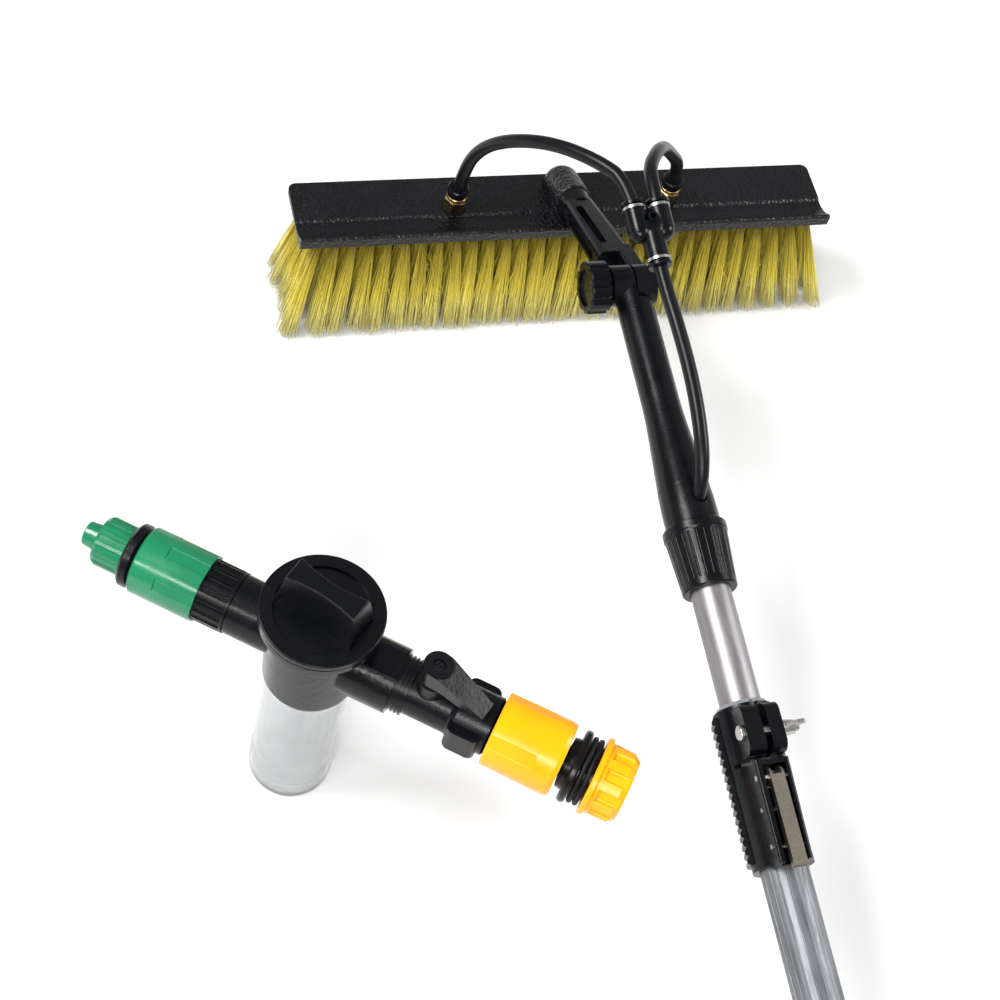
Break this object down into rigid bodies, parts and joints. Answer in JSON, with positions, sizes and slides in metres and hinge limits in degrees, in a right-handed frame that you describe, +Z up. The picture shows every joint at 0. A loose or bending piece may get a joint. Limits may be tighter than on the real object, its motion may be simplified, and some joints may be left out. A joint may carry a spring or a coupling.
{
  "type": "window cleaning pole system",
  "caption": "Water-fed window cleaning set: a wide brush on a hinged, telescopic aluminium pole with hoses, and a soap dispenser with a valve and quick couplings.",
  "frame": {"origin": "middle of the laid-out set, on the floor", "axes": "+Z up; X along the brush; +Y from the grip towards the brush, along the pole"},
  "size_m": [0.5212, 1.2372, 0.2008],
  "materials": {
    "black_plastic": "fine moulded grain",
    "pale_plastic": "smooth, slightly see-through look",
    "bristle": "thin soft filaments, paler at the tips",
    "brass": "satin, worn edges",
    "seal_rubber": "matte",
    "grip_foam": "dense foam, matte",
    "tube_aluminium": "anodised, fine drawn lines",
    "steel": "plated, satin",
    "lever_metal": "cast, satin, warm tint",
    "hose": "satin polyurethane",
    "green_plastic": "moulded, satin",
    "yellow_plastic": "moulded, satin"
  },
  "bodies": {
    "pole_base": {"outer_tube": "tube_aluminium", "clamp_body": "black_plastic", "clamp_liner": "pale_plastic", "clamp_bolt": "steel", "lever_pin": "steel", "clamp_rivets": "steel", "pressure_pad": "pale_plastic", "pole_grip": "grip_foam", "grip_end_cap": "black_plastic"},
    "clamp_lever": {"clamp_lever": "steel"},
    "wing_nut": {"wing_nut": "steel"},
    "upper_pole": {"inner_tube": "tube_aluminium", "tube_guide": "black_plastic", "handle": "black_plastic", "compression_ring": "pale_plastic", "hinge_bolt": "steel", "hinge_washer": "seal_rubber"},
    "collar_nut": {"collar_nut": "black_plastic"},
    "hinge_knob": {"hinge_knob": "black_plastic"},
    "brush": {"socket_arm": "black_plastic", "brush_block": "black_plastic", "bristles": "bristle", "fitting_body_left": "brass", "fitting_body_right": "brass", "fitting_washer_left": "seal_rubber", "fitting_washer_right": "seal_rubber", "spray_jet_left": "brass", "spray_jet_right": "brass", "y_splitter": "black_plastic", "splitter_rings": "steel", "hose_left": "hose", "hose_right": "hose", "hose_stem": "hose"},
    "fitting_collar_left": {"fitting_collar_left": "black_plastic"},
    "fitting_collar_right": {"fitting_collar_right": "black_plastic"},
    "splitter_collar_left": {"splitter_collar_left": "black_plastic"},
    "splitter_collar_right": {"splitter_collar_right": "black_plastic"},
    "splitter_collar_stem": {"splitter_collar_stem": "black_plastic"},
    "dispenser": {"dispenser_head": "black_plastic", "bottle_seal": "seal_rubber", "outlet_core": "black_plastic", "valve_body": "black_plastic", "dip_tube": "pale_plastic"},
    "lid": {"dispenser_lid": "black_plastic", "lid_seal": "seal_rubber"},
    "bottle": {"bottle": "pale_plastic"},
    "outlet_ring_nut": {"outlet_ring_nut": "black_plastic"},
    "outlet_sleeve": {"outlet_sleeve": "green_plastic"},
    "outlet_connector": {"outlet_coupling": "black_plastic", "outlet_tip": "green_plastic"},
    "outlet_nut": {"outlet_nut": "green_plastic"},
    "valve": {"valve_lever": "lever_metal", "lever_screw": "steel", "valve_stem": "brass", "valve_ball": "brass"},
    "inlet_sleeve": {"inlet_sleeve": "yellow_plastic"},
    "inlet_connector": {"inlet_coupling": "black_plastic", "inlet_o_rings": "seal_rubber"},
    "inlet_nut": {"inlet_nut": "yellow_plastic"}
  },
  "joints": [
    {"name": "clamp_lever_open", "type": "hinge", "parent": "pole_base", "child": "clamp_lever", "pos_m": [0.07109, 0.16572, 0.12168], "axis": [1, 0, 0], "range_deg": [-95, 0]},
    {"name": "wing_nut_turn", "type": "hinge", "parent": "pole_base", "child": "wing_nut", "pos_m": [0.07109, 0.19068, 0.12341], "axis": [1, 0, 0], "continuous": true},
    {"name": "pole_extend", "type": "slide", "parent": "pole_base", "child": "upper_pole", "axis": [0, 0.9941, 0.1087], "range_m": [0, 0.6]},
    {"name": "collar_nut_turn", "type": "hinge", "parent": "upper_pole", "child": "collar_nut", "pos_m": [0.07109, 0.29718, 0.11543], "axis": [0, -0.9941, -0.1087], "continuous": true},
    {"name": "hinge_knob_turn", "type": "hinge", "parent": "upper_pole", "child": "hinge_knob", "pos_m": [0.04909, 0.47611, 0.135], "axis": [1, 0, 0], "continuous": true},
    {"name": "brush_tilt", "type": "hinge", "parent": "upper_pole", "child": "brush", "pos_m": [0.07109, 0.47611, 0.135], "axis": [1, 0, 0], "range_deg": [-30, 40], "deforming": ["hose_stem"]},
    {"name": "fitting_collar_left_push", "type": "slide", "parent": "brush", "child": "fitting_collar_left", "axis": [0, 0, -1], "range_m": [0, 0.001], "stiffness_N_per_m": 500},
    {"name": "fitting_collar_right_push", "type": "slide", "parent": "brush", "child": "fitting_collar_right", "axis": [0, 0, -1], "range_m": [0, 0.001], "stiffness_N_per_m": 500},
    {"name": "splitter_collar_left_push", "type": "slide", "parent": "brush", "child": "splitter_collar_left", "axis": [0.05, -0.9624, -0.2671], "range_m": [0, 0.001], "stiffness_N_per_m": 500},
    {"name": "splitter_collar_right_push", "type": "slide", "parent": "brush", "child": "splitter_collar_right", "axis": [0.05, -0.9624, -0.2671], "range_m": [0, 0.001], "stiffness_N_per_m": 500},
    {"name": "splitter_collar_stem_push", "type": "slide", "parent": "brush", "child": "splitter_collar_stem", "axis": [-0.05, 0.9624, 0.2671], "range_m": [0, 0.001], "stiffness_N_per_m": 500},
    {"name": "dispenser_lift", "type": "slide", "parent": "pole_base", "child": "dispenser", "axis": [0, 0, 1], "range_m": [0, 0.25]},
    {"name": "lid_turn", "type": "hinge", "parent": "dispenser", "child": "lid", "pos_m": [-0.15351, 0.26161, 0.1689], "axis": [0, 0, 1], "continuous": true},
    {"name": "bottle_turn", "type": "hinge", "parent": "dispenser", "child": "bottle", "pos_m": [-0.15351, 0.26161, 0.0589], "axis": [0, 0, 1], "continuous": true},
    {"name": "outlet_ring_nut_turn", "type": "hinge", "parent": "dispenser", "child": "outlet_ring_nut", "pos_m": [-0.19806, 0.29386, 0.1389], "axis": [0.81, -0.5864, 0], "continuous": true},
    {"name": "outlet_sleeve_pull", "type": "slide", "parent": "dispenser", "child": "outlet_sleeve", "axis": [0.81, -0.5864, 0], "range_m": [0, 0.003], "stiffness_N_per_m": 800},
    {"name": "outlet_connector_turn", "type": "hinge", "parent": "dispenser", "child": "outlet_connector", "pos_m": [-0.23451, 0.32025, 0.1389], "axis": [0.81, -0.5864, 0], "continuous": true},
    {"name": "outlet_nut_turn", "type": "hinge", "parent": "outlet_connector", "child": "outlet_nut", "pos_m": [-0.24261, 0.32611, 0.1389], "axis": [0.81, -0.5864, 0], "continuous": true},
    {"name": "valve_lever_turn", "type": "hinge", "parent": "dispenser", "child": "valve", "pos_m": [-0.10328, 0.22526, 0.1389], "axis": [0, 0, 1], "range_deg": [-80, 0]},
    {"name": "inlet_sleeve_pull", "type": "slide", "parent": "dispenser", "child": "inlet_sleeve", "axis": [-0.81, 0.5864, 0], "range_m": [0, 0.003], "stiffness_N_per_m": 800},
    {"name": "inlet_connector_turn", "type": "hinge", "parent": "dispenser", "child": "inlet_connector", "pos_m": [-0.03848, 0.17835, 0.1389], "axis": [0.81, -0.5864, 0], "continuous": true},
    {"name": "inlet_nut_turn", "type": "hinge", "parent": "inlet_connector", "child": "inlet_nut", "pos_m": [-0.0239, 0.16779, 0.1389], "axis": [0.81, -0.5864, 0], "continuous": true}
  ]
}
